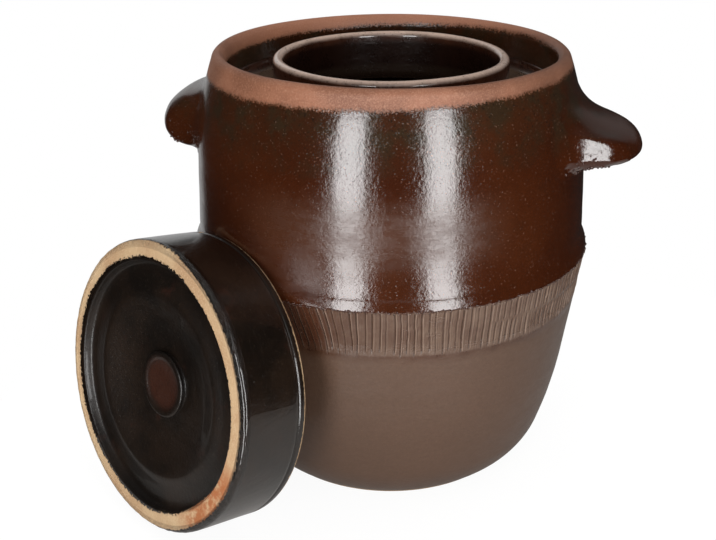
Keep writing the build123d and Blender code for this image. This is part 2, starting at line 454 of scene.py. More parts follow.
def wall_colour(coords, cloud, mottle, z, low):
    """Red-brown glaze, dusky and dotted under the rim, with a painted sheen of lighter grey-brown
    where low is 1, which stands for the pale table mirrored in the lower wall.
    """
    body = cloud.ramp(0.35, 0.68).mix((0.032, 0.0070, 0.0020), (0.047, 0.0115, 0.0033))
    body = (mottle.ramp(0.50, 0.74) * 0.40).mix(body, (0.026, 0.0080, 0.0032))
    high = (z + mottle * 0.030 - 0.015).ramp(JAR_HEIGHT - 0.058, JAR_HEIGHT - 0.020)
    dusk = (high * (0.30 + mottle.ramp(0.42, 0.62) * 0.55)).mix(body, (0.024, 0.0150, 0.0075))
    dots = coords.noise(620.0, 2.0, 0.6).ramp(0.60, 0.68) * (0.25 + high * 0.6)
    dotted = dots.mix(dusk, (0.010, 0.006, 0.004))
    pale = coords.noise(900.0, 1.0).ramp(0.69, 0.75) * 0.45
    glazed = pale.mix(dotted, (0.16, 0.10, 0.075))
    # Painted sheen: lighter grey-brown on the lower wall, standing for the pale table mirrored
    # there.
    earthy = coords.noise(380.0, 3.0, 0.7).mix((0.070, 0.036, 0.018), (0.125, 0.070, 0.042))
    return (low * 0.70).mix(glazed, earthy)


def comb_colour(glazed, mottle, comb, ridge):
    """The comb's band, worn to grey-brown, dark in its grooves and pale on their burrs, partly from
    bare clay and partly from a painted highlight on their crests.
    """
    scoured = (comb * (0.50 + mottle.ramp(0.35, 0.65) * 0.40)).mix(glazed, (0.128, 0.080, 0.055))
    grooved = ((0 - ridge).ramp(0.03, 0.38) * 0.85).mix(scoured, (0.040, 0.018, 0.010))
    # Pale burrs: bare clay, with a painted highlight where their crests catch the light.
    return (ridge.ramp(0.12, 0.85) * 0.70).mix(grooved, (0.240, 0.165, 0.124))


def rim_clay(coords, x, y):
    """Bare clay on the rim, made paler on its far side as painted light and darker at its right as
    painted shade. Gives its colour and its grain."""
    clay, grain = raw_clay(coords, (0.190, 0.066, 0.030), (0.290, 0.110, 0.055),
                           (0.400, 0.205, 0.125))
    # Painted light: the rim's far side is made paler.
    far = y.ramp(-0.02, 0.11)
    clay = (far * 0.50).mix(clay, (0.560, 0.230, 0.125))
    # Painted shade: the rim's right side is made darker.
    burnt = x.ramp(0.03, 0.11) * (1 - far) * 0.45
    return burnt.mix(clay, (0.120, 0.050, 0.028)), grain


def jar_glaze():
    """Glossy red-brown glaze, duller round the waist, beside the lid and where it is worn on the
    comb and under it, with bare clay on the rim and the foot, and with a painted sheen on the
    waist's front and under the comb. It reads comb_tree's attributes."""
    material, coords = new_material("jar_glaze")
    x, y, z = coords.split()
    cloud = coords.noise(11.0, 4.0, 0.6)
    mottle = coords.noise(55.0, 5.0, 0.65)
    comb, ridge = [coords.node("ShaderNodeAttribute", {"attribute_name": name}, out=2)
                   for name in ("comb", "ridge")]
    low = 1 - (z + (mottle - 0.5) * 0.014).ramp(0.120, 0.1355)
    glazed = wall_colour(coords, cloud, mottle, z, low)
    glazed = comb_colour(glazed, mottle, comb, ridge)

    waist = z + coords.uneven(24.0, 4.0, 0.6) * 0.020 + coords.uneven(260.0, 3.0) * 0.012
    dull = waist.within(0.172, 0.204, 0.213, 0.240) * x.within(-0.105, -0.065, 0.050, 0.085)
    # Painted sheen: the dull waist is lighter brown on its front, between the highlights, standing
    # for their scattered glow.
    glazed = (dull * 0.35).mix(glazed, (0.082, 0.034, 0.018))
    beside_lid = x.within(-0.105, -0.085, -0.046, -0.034) * z.within(0.160, 0.170, 0.196, 0.214)
    satin = beside_lid * (1 - y.ramp(-0.02, 0.02))
    patchy = 0.60 + coords.stretched(1, 1, 3).noise(80.0, 3.0, 0.7).ramp(0.35, 0.60) * 0.40
    worn = dull.largest(comb * 0.55 + low * 0.45, satin) * patchy

    edge = coords.uneven(48.0, 4.0, 0.6) * 0.005 + coords.uneven(760.0, 2.0) * 0.006 - x * 0.028
    lapped = (from_axis(x, y) - RIM_INNER_RADIUS).ramp(0.001, 0.008) * 0.0045
    bare = (z + edge + lapped).ramp(JAR_HEIGHT - 0.0090, JAR_HEIGHT - 0.0052)
    foot = 1 - z.ramp(0.0012, 0.0030)
    matt = bare.largest(foot)
    clay, grain = rim_clay(coords, x, y)
    colour = foot.mix(bare.mix(glazed, clay), (0.42, 0.27, 0.15))

    rough = 0.10 + cloud * 0.07 + low * 0.26 + worn * 0.24 - dull * patchy * 0.07 + matt * 0.40
    height = glaze_skin(coords, 0.12 + worn * 0.55) * (1 - matt) + grain * matt * 0.8
    return finish_material(material, coords, Base_Color=colour, Roughness=rough, IOR=1.6,
                           Coat_Weight=(1 - matt) * (1 - worn * 0.95) * 0.3,
                           Coat_Roughness=0.06, Coat_IOR=1.5,
                           Normal=bumped(coords, height, 0.00024))


def neck_glaze():
    """The same glaze, pale over the neck's lip where it runs thinly, with a painted highlight along
    it, a painted reflection of lighter brown on the channel's floor, and painted shade making the
    neck's bore dark."""
    material, coords = new_material("neck_glaze")
    x, y, z = coords.split()
    reach = from_axis(x, y)
    mottle = coords.noise(60.0, 5.0, 0.65)
    body = mottle.ramp(0.35, 0.7).mix((0.030, 0.0085, 0.0035), (0.060, 0.0180, 0.0075))
    # Pale lip: glaze that breaks pale over the edge, with a painted highlight along it.
    thin = (z + mottle * 0.002).ramp(NECK_TOP - 0.0030, NECK_TOP + 0.0008)
    colour = (thin * 0.95).mix(body, (0.620, 0.450, 0.360))
    # Painted reflection: the channel's floor is made lighter brown.
    silt = (1 - z.ramp(CHANNEL_Z, CHANNEL_Z + 0.004)) * (1 - reach.ramp(0.108, 0.111))
    colour = (silt * 0.7).mix(colour, (0.125, 0.080, 0.050))
    specks = coords.noise(700.0, 2.0).ramp(0.62, 0.70) * 0.6
    colour = specks.mix(colour, (0.014, 0.008, 0.006))
    # Painted shade: the neck's bore is made near black down its inside.
    bore = NECK_RADIUS - NECK_THICKNESS
    inside = (1 - reach.ramp(bore, bore + 0.0012)) * (1 - z.ramp(NECK_TOP - 0.009, NECK_TOP - 0.003))
    colour = (inside * 0.85).mix(colour, (0.005, 0.0016, 0.0008))
    return finish_material(material, coords, Base_Color=colour,
                           Roughness=0.22 + mottle * 0.12, IOR=1.5,
                           Coat_Weight=1 - inside * 0.8, Coat_Roughness=0.05,
                           Normal=bumped(coords, glaze_skin(coords), 0.0003))


def lid_colour(coords, cloud, reach, z):
    """Black-brown gloss, speckled, with rusty clouds and a rusty knob."""
    body = cloud.ramp(0.35, 0.68).mix((0.0045, 0.0027, 0.0016), (0.0120, 0.0062, 0.0032))
    rusty = (coords.noise(38.0, 5.0, 0.7).ramp(0.58, 0.74) * 0.6).mix(body, (0.030, 0.0095, 0.005))
    middle = 1 - (reach + (cloud - 0.5) * 0.012).ramp(0.012, 0.020)
    rusty = (middle * z.ramp(-0.012, -0.0095) * 0.8).mix(rusty, (0.040, 0.0120, 0.0060))
    specks = coords.noise(760.0, 2.0, 0.6).ramp(0.58, 0.68) * 0.7
    sparks = coords.noise(1000.0, 1.0).ramp(0.70, 0.76) * 0.3
    return sparks.mix(specks.mix(rusty, (0.003, 0.002, 0.002)), (0.11, 0.08, 0.06))


def ring_clay(coords, local, to_rust, wander):
    """Tan sandy clay, rusted and crusted round one spot of the lid's ring. Gives its colour and its
    grain."""
    clay, grain = raw_clay(coords, (0.430, 0.255, 0.130), (0.540, 0.370, 0.205),
                           (0.640, 0.480, 0.300))
    streaky = local.noise(140.0, 4.0, 0.7).ramp(0.30, 0.55)
    rust = (1 - (to_rust + wander * 3).ramp(0.020, 0.048)) * streaky
    clay = (rust * 0.95).mix(clay, (0.360, 0.110, 0.030))
    crust = local.noise(260.0, 3.0, 0.7).ramp(0.66, 0.72) * rust.ramp(0.2, 0.6)
    return crust.mix(clay, (0.020, 0.012, 0.008)), grain


def lid_glaze(place):
    """Black-brown gloss, with tan sandy clay left bare on the ring round the lid's top and
    on its skirt's edge. The patterns are laid out in the lid's own frame."""
    material, coords = new_material("lid_glaze")
    local = coords.node("ShaderNodeMapping", {"vector_type": "TEXTURE"},
                        {"Vector": coords, "Location": place.translation,
                         "Rotation": place.to_euler()})
    x, y, z = local.split()
    reach = from_axis(x, y)
    cloud = coords.noise(24.0, 4.0, 0.6)
    wander = local.uneven(30.0, 3.0, 0.6) * 0.0040
    ragged = wander + local.uneven(480.0, 3.0, 0.7) * 0.0075
    right = x.ramp(-0.02, 0.07)
    to_rust = local.node("ShaderNodeVectorMath", {"operation": "DISTANCE"},
                         {0: local, 1: RUST_SPOT}, out=1)
    corner = 1 - to_rust.ramp(0.015, 0.045)
    inner_line = RING_INNER_RADIUS + 0.0019 - right * 0.0026
    inner_line = inner_line + (1 - x.ramp(-0.085, -0.03)) * 0.0022 - corner * 0.0030
    outer_line = LID_RADIUS - 0.0004 - right * 0.0040
    bare = (reach + ragged - inner_line).ramp(-0.0003, 0.0003)
    bare = bare * (outer_line - reach + ragged * 0.6).ramp(-0.0003, 0.0003)
    bare = bare * (z + corner * 0.0040).ramp(-0.0016, -0.0008)
    chips = (local.noise(75.0, 2.0) - 0.62).largest(0.0)
    over_edge = z + LID_HEIGHT + ragged * 0.3 - chips * 0.03
    bare = bare.largest(1 - over_edge.ramp(0.0016, 0.0024))
    clay, grain = ring_clay(coords, local, to_rust, wander)
    colour = bare.mix(lid_colour(coords, cloud, reach, z), clay)
    dished = (1 - reach.ramp(0.0830, 0.0838)) * z.ramp(-0.020, -0.016)
    beaded = local.noise(400.0, 3.0, 0.7) * reach.ramp(0.0900, 0.0925) * z.ramp(-0.005, -0.002)
    height = glaze_skin(coords) * (1 - bare) + grain * bare * 0.9 - bare * 0.8 + beaded * 12.0
    return finish_material(material, coords, Base_Color=colour,
                           Roughness=0.20 + cloud * 0.1 + bare * 0.45 + dished * 0.14,
                           IOR=1.5, Coat_Weight=(1 - bare) * (1 - dished * 0.80),
                           Coat_Roughness=0.04, Normal=bumped(coords, height, 0.00035))


def stone_glaze():
    """Satin brown on the stones in the jar."""
    material, coords = new_material("stone_glaze")
    mottle = coords.noise(45.0, 5.0, 0.65)
    specks = coords.noise(600.0, 2.0).ramp(0.60, 0.70)
    body = mottle.ramp(0.35, 0.7).mix((0.050, 0.022, 0.012), (0.095, 0.046, 0.026))
    colour = (specks * 0.7).mix(body, (0.02, 0.012, 0.009))
    return finish_material(material, coords, Base_Color=colour, Roughness=0.42 + mottle * 0.15,
                           IOR=1.5, Normal=bumped(coords, glaze_skin(coords), 0.0003))


# The jar

def round_noise(angle, loops, along):
    """Noise that closes on itself round the pot, about 0. loops says how busy a turn is."""
    return noise.noise(Vector((math.sin(angle) * loops, math.cos(angle) * loops, along)))


def wobble(radius, height, angle, depth=0.0007):
    """The hand in the clay: a slow lean in and out and faint throwing rings."""
    slow = round_noise(angle, 1.3, height * 16) * 0.5 + 0.5
    return radius - depth * slow - 0.00016 * (round_noise(angle, 0.35, height * 80) + 0.6)


def jar_shape(radius, height, angle):
    if radius < 0.02:
        return radius, height
    top = smooth(JAR_HEIGHT - 0.010, JAR_HEIGHT, height)
    dip = round_noise(angle, 1.6, 4.0) * 0.5 + 0.5
    return wobble(radius, height, angle), height - 0.0009 * dip * top


def jar_outline():
    """The jar's whole outline, from the middle of its foot up the outside, over the rim, and
    down inside it to the middle of its floor."""
    low, band, high = jar_outside()
    rows = with_columns([(0, 0), (0.03, 0), (0.06, 0), (0.085, 0), (FOOT[0] - FOOT_BEVEL, 0)],
                        COARSE)
    rows += with_columns(low[:-2], COARSE)
    rows += [(*low[-2], COARSE * 2), (*low[-1], COARSE * 4)]
    rows += with_columns(band[:-1], FINE)
    rows += [(*band[-1], COARSE * 4), (*high[0], COARSE * 2)]
    rows += with_columns(high[1:], COARSE)
    lip_mid = (RIM_RADIUS + RIM_INNER_RADIUS) / 2
    lip_z = JAR_HEIGHT - LIP_DROP
    lip = curve_through([(RIM_RADIUS, lip_z), (RIM_RADIUS - 0.0011, JAR_HEIGHT - 0.0026),
                         (lip_mid + 0.0016, JAR_HEIGHT - 0.0003), (lip_mid, JAR_HEIGHT),
                         (lip_mid - 0.0016, JAR_HEIGHT - 0.0003),
                         (RIM_INNER_RADIUS + 0.0011, JAR_HEIGHT - 0.0026),
                         (RIM_INNER_RADIUS, lip_z)], 4)[1:]
    rows += with_columns(lip, COARSE)
    inner = straight(lip[-1], (RIM_INNER_RADIUS, SHELF_Z), 0.004)
    ledge_radius = RIM_INNER_RADIUS - LEDGE_WIDTH
    ledge_z = SHELF_Z - LEDGE_THICKNESS
    inner += [(ledge_radius, SHELF_Z), (ledge_radius, ledge_z)]
    inner += straight(inner[-1], (LEDGE_ROOT_RADIUS, ledge_z - LEDGE_ROOT_DROP), 0.004)
    for radius, height in (SHOULDER, BELLY, SWELL):
        inner += straight(inner[-1], (radius - WALL, height), 0.006)
    inner += turning(inner[-1], (HEEL[0] - WALL, HEEL[1]), heading_at_end(inner), 0.005)
    inner += turning(inner[-1], (FLOOR_RADIUS, FLOOR_THICKNESS), heading_at_end(inner), 0.004)
    inner += straight(inner[-1], (0.02, FLOOR_THICKNESS), 0.012)
    rows += with_columns(inner, COARSE // 2)
    rows.append((0, FLOOR_THICKNESS, 1))
    return rows


def new_tree(name, *inputs):
    """An empty node tree that takes geometry and these sizes. Gives a first field to add
    nodes from, and the fields of its inputs."""
    tree = bpy.data.node_groups.new(name, "GeometryNodeTree")
    panel = tree.interface
    panel.new_socket("Geometry", in_out="INPUT", socket_type="NodeSocketGeometry")
    for title in inputs:
        panel.new_socket(title, in_out="INPUT", socket_type="NodeSocketFloat")
    panel.new_socket("Geometry", in_out="OUTPUT", socket_type="NodeSocketGeometry")
    taken = tree.nodes.new("NodeGroupInput")
    fields = [Field(tree, socket) for socket in taken.outputs[:len(inputs) + 1]]
    return Field(tree), fields


def end_tree(start, geometry, material):
    real = start.node("GeometryNodeRealizeInstances", None, {"Geometry": geometry})
    done = start.node("GeometryNodeSetMaterial", None, {"Geometry": real, "Material": material})
    start.node("NodeGroupOutput", None, {0: done})
    return start.tree


def comb_tree(material):
    """Node tree that draws a comb through the wet clay: a band of short grooves, each with
    a burr beside it, and finer ones between. It leans on the camera's left, and breaks into
    two rows on the right. It keeps what it did as the attributes ridge, which is positive
    on a burr and negative in a groove, and comb."""
    start, (wall, low, high, strokes, sunk, depth, burr, seed) = new_tree(
        "comb_strokes", "Low", "High", "Strokes", "Sunk", "Depth", "Burr", "Seed")
    place = start.node("GeometryNodeInputPosition")
    x, y, z = place.split()
    azimuth = x.math("ARCTAN2", 0 - y)
    two_rows = azimuth.ramp(0.42, 0.60) * (1 - azimuth.size().ramp(2.6, 2.9))
    left = azimuth.within(-1.4, -0.9, -0.40, -0.10)
    middle = (low + high) / 2
    over_gap = z - (middle + 0.0015)
    row = two_rows.ramp(0.45, 0.55) * over_gap.above(0.0)
    lean = left * 0.24 * (z - middle) / 0.87
    turns = azimuth / (2 * math.pi) + lean + place.uneven(30.0, 2.0) * 0.004 + row * 0.0031

    def scored(count, key, wide):
        """The grooves of one comb, count to a turn, and the burr beside each."""
        along = turns * count + count
        cell = along.math("FLOOR").math("FLOORED_MODULO", count)

        def chance(shift):
            return start.node("FunctionNodeRandomValue", {"data_type": "FLOAT"},
                              {"ID": cell * 11 + row * 5 + shift + key, "Seed": seed}, out=1)

        offset = along.math("FRACT") - 0.5 - (chance(1) - 0.5) * 0.34
        width = wide * (0.75 + chance(2) * 0.45)
        groove = (1 - offset.size() / width).largest(0.0)
        ridge = (1 - (offset - width * 1.55).size() / (width * 1.1)).largest(0.0)
        ridge = ridge * ridge * (3 - 2 * ridge)
        top = high - chance(4) * 0.0015
        bottom = low + chance(5) * 0.0040
        fade = z.within(bottom - 0.0010, bottom + 0.0014, top - 0.0006, top + 0.0006)
        strength = (0.40 + chance(3) * 0.60) * fade
        return groove * strength, ridge * strength

    groove, ridge = scored(strokes, 0, GROOVE_HALF)
    fine_groove, fine_ridge = scored(strokes * FINE_PER_STROKE, 400, FINE_GROOVE_HALF)
    fine = (1 - left) * (0.45 + place.noise(22.0, 1.0).ramp(0.40, 0.60) * 0.55)
    unrolled = start.node("ShaderNodeCombineXYZ", None, {0: turns * strokes * 6, 1: z * 60})
    scratches = start.node("ShaderNodeTexNoise", {"noise_dimensions": "2D"},
                           {"Vector": unrolled, "Scale": 1.0, "Detail": 1.0})
    whole = 1 - two_rows * (1 - over_gap.size().ramp(0.0002, 0.0016))
    edge = z + place.uneven(200.0, 3.0, 0.7) * 0.0044
    band = edge.within(low - 0.0004, low + 0.0022, high - 0.0007, high)
    cut = (groove + fine_groove * fine * 0.6) * depth + scratches.ramp(0.5, 0.7) * depth * 0.22
    raised = (ridge + fine_ridge * fine * 0.5) * burr
    push = (raised - cut) * whole * band - band * z.ramp(low, low + 0.011) * sunk
    radial = start.node("ShaderNodeCombineXYZ", None, {0: x, 1: y, 2: 0.0})
    outward = start.node("ShaderNodeVectorMath", {"operation": "NORMALIZE"}, {0: radial})
    offset_vector = start.node("ShaderNodeVectorMath", {"operation": "SCALE"},
                               {0: outward, "Scale": push})
    skin = from_axis(x, y).above(BELLY[0] - WALL / 2)
    skin = skin * z.above(low - 0.003) * z.below(high + 0.0025)
    shown = (ridge - groove + (fine_ridge - fine_groove) * fine * 0.6) * whole * band
    kept = wall
    for name, value in (("ridge", shown), ("comb", band * (1 - left * 0.85))):
        kept = start.node("GeometryNodeStoreNamedAttribute",
                          {"data_type": "FLOAT", "domain": "POINT"},
                          {"Geometry": kept, "Name": name, "Value": value * skin})
    moved = start.node("GeometryNodeSetPosition", None,
                       {"Geometry": kept, "Selection": skin, "Offset": offset_vector})
    return end_tree(start, moved, material)


def crumb_tree(material):
    """Node tree that strews crumbs of clay, under the glaze, on a strip of a pot's surface.
    Low and High bound the strip by height, and Nearest and Reach by distance from the axis.
    It leaves the very back out, where the wall is as far out as the solids go."""
    start, (pot, low, high, nearest, reach, density, size, seed) = new_tree(
        "clay_crumbs", "Low", "High", "Nearest", "Reach", "Density", "Size", "Seed")
    x, y, z = start.node("GeometryNodeInputPosition").split()
    radius = from_axis(x, y)
    strip = z.above(low) * z.below(high) * radius.above(nearest) * radius.below(reach)
    strip = strip * y.below(CRUMB_BACK_LIMIT)
    spots = start.node("GeometryNodeDistributePointsOnFaces", {"distribute_method": "RANDOM"},
                       {"Mesh": pot, "Selection": strip, "Density": density, "Seed": seed})
    crumb = start.node("GeometryNodeMeshIcoSphere", None, {"Radius": size, "Subdivisions": 1})
    turned, grown = [start.node("FunctionNodeRandomValue", {"data_type": "FLOAT_VECTOR"},
                                {0: least, 1: most, "Seed": seed + shift})
                     for least, most, shift in (((0, 0, 0), (6.28, 6.28, 6.28), 1),
                                                ((0.35, 0.35, 0.35), (1.0, 1.0, 0.8), 2))]
    strewn = start.node("GeometryNodeInstanceOnPoints", None,
                        {"Points": spots, "Instance": crumb, "Rotation": turned, "Scale": grown})
    soft = start.node("GeometryNodeSetShadeSmooth", None, {"Geometry": strewn})
    return end_tree(start, soft, material)


def run_tree(piece, tree, **values):
    """Applies a node tree to a piece and keeps the result as its plain mesh."""
    modifier = piece.modifiers.new("nodes", "NODES")
    modifier.node_group = tree
    for item in tree.interface.items_tree:
        if item.in_out == "INPUT" and item.name in values:
            modifier[item.identifier] = values[item.name]
    graph = bpy.context.evaluated_depsgraph_get()
    solid = bpy.data.meshes.new_from_object(piece.evaluated_get(graph))
    piece.modifiers.remove(modifier)
    old = piece.data
    piece.data = solid
    bpy.data.meshes.remove(old)
    solid.name = piece.name


def strew(name, carrier, material, **values):
    """Crumbs on part of a piece, kept as a piece of their own."""
    crumbs = bpy.data.objects.new(name, carrier.data.copy())
    bpy.context.scene.collection.objects.link(crumbs)
    run_tree(crumbs, crumb_tree(material), **values)
    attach(crumbs, "crock")


def make_jar(material):
    jar = thrown("jar_body", jar_outline(), material, jar_shape)
    run_tree(jar, comb_tree(material), Low=COMB_LOW, High=COMB_TOP,
             Strokes=float(COMB_STROKES), Sunk=COMB_SUNK, Depth=COMB_DEPTH, Burr=COMB_BURR,
             Seed=5.0)
    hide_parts("crock_body")
    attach(jar, "crock")
    skin = {"Nearest": BELLY[0] - WALL / 2, "Reach": 1.0}
    strew("comb_edge_crumbs", jar, material, Low=COMB_TOP - 0.0014, High=COMB_TOP + 0.0004,
          Density=480000.0, Size=0.00115, Seed=21.0, **skin)
    strew("comb_face_crumbs", jar, material, Low=COMB_LOW, High=COMB_TOP - 0.002,
          Density=9000.0, Size=0.00050, Seed=22.0, **skin)


def make_neck(material):
    """The neck, from its foot on the channel's floor over its rounded lip and down its bore."""
    inner_radius = NECK_RADIUS - NECK_THICKNESS
    lip_radius = NECK_THICKNESS / 2
    middle = inner_radius + lip_radius
    lip = [(middle + lip_radius * math.cos(math.radians(a)),
            NECK_TOP - lip_radius + lip_radius * math.sin(math.radians(a)))
           for a in range(0, 181, 12)]
    cove_top = (NECK_RADIUS, CHANNEL_Z + COVE_HEIGHT)
    cove_edge = NECK_RADIUS + COVE_WIDTH
    outside = straight(cove_top, lip[0], 0.003)
    cove = turning((cove_edge, CHANNEL_Z), cove_top, (-1, 0.05), 0.0012)
    bore = straight(lip[-1], (inner_radius, SHELF_Z + 0.002), 0.004)
    rows = [(NECK_RADIUS, SHELF_Z), (cove_edge, CHANNEL_Z - 0.001), (cove_edge, CHANNEL_Z)]
    rows += cove + outside[:-1] + lip + bore + [(inner_radius + 0.002, SHELF_Z), rows[0]]
    neck = thrown("neck_ring", with_columns(rows, COARSE), material, neck_shape)
    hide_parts("neck")
    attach(neck, "crock")


def make_channel_floor(material):
    """The ring that closes the channel, with a coil of clay coved into its outer corner."""
    corner = RIM_INNER_RADIUS - COIL_EDGE - COIL_RISE
    floor = [(NECK_RADIUS, SHELF_Z), (RIM_INNER_RADIUS, SHELF_Z),
             (RIM_INNER_RADIUS, CHANNEL_Z + COIL_RISE),
             (RIM_INNER_RADIUS - COIL_EDGE, CHANNEL_Z + COIL_RISE)]
    floor += turning(floor[-1], (corner, CHANNEL_Z), (0, -1), 0.0012)
    floor += straight(floor[-1], (NECK_RADIUS, CHANNEL_Z), 0.003) + [floor[0]]
    base = thrown("channel_base", with_columns(floor, COARSE), material, neck_shape)
    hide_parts("channel_floor")
    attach(base, "crock")


def neck_shape(radius, height, angle):
    dip = round_noise(angle, 1.4, 9.0) * 0.5 + 0.5
    top = smooth(NECK_TOP - 0.012, NECK_TOP, height)
    return wobble(radius, height, angle, 0.0004), height - 0.0008 * dip * top


# An ear's section at its middle, as distance from the wall and height over its own middle
EAR_RIGHT_SECTION = [(-0.0016, 0.040), (-0.0004, 0.034), (0.0018, 0.0275), (0.0060, 0.0215),
                     (0.0125, 0.0165), (0.0205, 0.0128), (0.0285, 0.0100), (0.0340, 0.0066),
                     (0.0365, 0.0010), (0.0350, -0.0042), (0.0285, -0.0070),
                     (0.0205, -0.0084), (0.0120, -0.0095), (0.0050, -0.0106),
                     (0.0010, -0.0128), (-0.0008, -0.0160), (-0.0016, -0.0200)]
EAR_LEFT_SECTION = [(-0.0016, 0.034), (-0.0004, 0.029), (0.0026, 0.0245), (0.0095, 0.0218),
                    (0.0180, 0.0196), (0.0260, 0.0148), (0.0325, 0.0085), (0.0358, 0.0020),
                    (0.0365, -0.0030), (0.0350, -0.0080), (0.0305, -0.0125),
                    (0.0240, -0.0155), (0.0160, -0.0172), (0.0080, -0.0180),
                    (0.0024, -0.0196), (-0.0004, -0.0225), (-0.0016, -0.0260)]
EAR_DRAWN_REACH = 0.0365
# How far it still reaches, as a share, at these distances to either side of its middle
EAR_PLAN = [(0.000, 1.00), (0.010, 0.990), (0.020, 0.955), (0.030, 0.87), (0.036, 0.73),
            (0.040, 0.52), (0.044, 0.27), (0.049, 0.11), (0.056, 0.035), (0.066, 0.0)]


def shell_faces(rows, columns):
    """Faces of a closed shell: two grids of points, rows by columns, the front one first,
    and the strips that join them round their edges."""
    half = rows * columns
    faces = []
    for i in range(rows - 1):
        for j in range(columns - 1):
            a = i * columns + j
            b = a + columns
            faces.append((a, a + 1, b + 1, b))
            faces.append((half + a, half + b, half + b + 1, half + a + 1))
    for i in range(rows - 1):
        for a in (i * columns, (i + 1) * columns - 1):
            b = a + columns
            side = (a, b, half + b, half + a)
            faces.append(side if a == i * columns else side[::-1])
    for j in range(columns - 1):
        for a in (j, half - columns + j):
            end = (a, half + a, half + a + 1, a + 1)
            faces.append(end if a == j else end[::-1])
    return faces


def make_ear(name, node, azimuth, height, size, drawn, lift, material):
    """A pressed lug, its root flared into the wall, with a back inside the wall. drawn is
    its section, size its reach, and lift how much higher its ends sit than its middle."""
    section = curve_through(drawn, 5)
    side = curve_through(EAR_PLAN, 4)
    stations = [(-a, share) for a, share in reversed(side)] + side[1:]
    out = direction(azimuth)
    front = []
    back = []
    for a, share in stations:
        share = max(share, 0.0)
        for reach, rise in section:
            sag = 1 + (110 * lift if rise < 0 else -0.2) * (1 - share)
            z = height + rise * (0.72 + 0.28 * share) * sag + lift * (1 - share)
            r = radius_at(z)
            angle = math.radians(azimuth) + a / r
            wall_point = Vector((math.sin(angle) * r, -math.cos(angle) * r, z))
            push = reach * share * size / EAR_DRAWN_REACH if reach > 0 else reach
            push -= 0.0012 * (1 - smooth(0.0, 0.08, share))
            lump = noise.noise(wall_point * 60 + Vector((3, azimuth, 0))) * 0.0005
            rough = smooth(0.20, 0.65, -a / 0.05) * smooth(0.0085, 0.0005, rise)
            crumb = noise.noise(wall_point * 260) * 0.0017 + noise.noise(wall_point * 700) * 0.0007
            grow = smooth(0.0, 0.25, share) * smooth(0.0, 0.004, reach)
            front.append(wall_point + out * (push + (lump + crumb * rough) * grow))
            back.append(wall_point - out * EAR_BACK_DEPTH)
    ear = mesh_object(name, front + back, shell_faces(len(stations), len(section)), material)
    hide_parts(node)
    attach(ear, "crock")
    strew(name + "_crumbs", ear, material, Low=height - 0.015, High=height + 0.002,
          Nearest=radius_at(height) + 0.0005, Reach=radius_at(height) + 0.022,
          Density=36000.0, Size=0.0016, Seed=31.0)


# The lid

def lid_place():
    """The turn and place that take the lid's own frame, ring plane on z = 0, to its lean."""
    tilt = math.radians(LID_LEAN)
    bearing = math.radians(LID_BEARING)
    facing = Vector((-math.sin(bearing) * math.cos(tilt), -math.cos(bearing) * math.cos(tilt),
                     math.sin(tilt)))
    across = Vector((math.cos(bearing), -math.sin(bearing), 0))
    upward = facing.cross(across)
    turn = Matrix((across, upward, facing)).transposed()
    middle = (lid_low + lid_high) / 2
    return Matrix.Translation(middle + facing * LID_HEIGHT / 2) @ turn.to_4x4()


def lid_shape(radius, height, angle):
    """A slow lean, and nicks in the top's outer edge."""
    if radius < 0.004:
        return radius, height
    slow = round_noise(angle, 1.5, height * 30) + 1
    nick = round_noise(angle, 21, height * 300) + 0.6
    edge = smooth(-0.004, -0.0005, height) * smooth(0.089, 0.094, radius)
    return radius - 0.0003 * slow * (radius / LID_RADIUS) - 0.0004 * nick * edge, height


def make_cap(glaze, place):
    """The lid without its knob: its underside, skirt, edge bead, flat ring and dish."""
    skirt = -LID_HEIGHT
    inner = LID_RADIUS - LID_WALL
    under = -DISH_DEPTH - LID_PLATE
    rows = [(0, under), (0.004, under)] + straight((0.004, under), (inner - 0.006, under), 0.01)
    rows += turning(rows[-1], (inner, under - 0.006), (1, 0), 0.0015)
    rows += straight(rows[-1], (inner, skirt + LID_EDGE), 0.004)
    rows += turning(rows[-1], (inner + LID_EDGE, skirt), (0, -1), 0.0007)
    rows += straight(rows[-1], (LID_RADIUS - LID_EDGE, skirt), 0.0015)
    rows += turning(rows[-1], (LID_RADIUS, skirt + LID_EDGE), (1, 0), 0.0007)
    groove = skirt + 0.006
    rows += [(LID_RADIUS, groove - 0.0012), (LID_RADIUS - 0.0003, groove - 0.0006),
             (LID_RADIUS - 0.0009, groove), (LID_RADIUS - 0.0003, groove + 0.0006),
             (LID_RADIUS, groove + 0.0014)]
    rows += straight(rows[-1], (LID_RADIUS, -LID_EDGE), 0.002)
    rows += turning(rows[-1], (LID_RADIUS - LID_EDGE, 0), (0, 1), 0.0005)
    rows += straight(rows[-1], (RING_INNER_RADIUS, 0), 0.0012)
    dish = curve_through([(RING_INNER_RADIUS, 0), (0.0822, -0.0006), (0.0812, -0.0030),
                          (0.0796, -0.0050), (0.0755, -0.0060), (0.0700, -0.0055),
                          (0.0650, -0.0041), CREST, (0.0590, -0.0040), (0.0530, -0.0062),
                          (0.0450, -0.0090), (0.0360, -0.0112), (0.0280, -0.0122),
                          (0.0220, -0.0125)], 6)[1:]
    rows += dish + [(0.012, -DISH_DEPTH), (0, -DISH_DEPTH)]
    cap = thrown("lid_cap_turned", with_columns(rows, LID_COLUMNS), glaze, lid_shape, place)
    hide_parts("lid_cap")
    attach(cap, "lid")


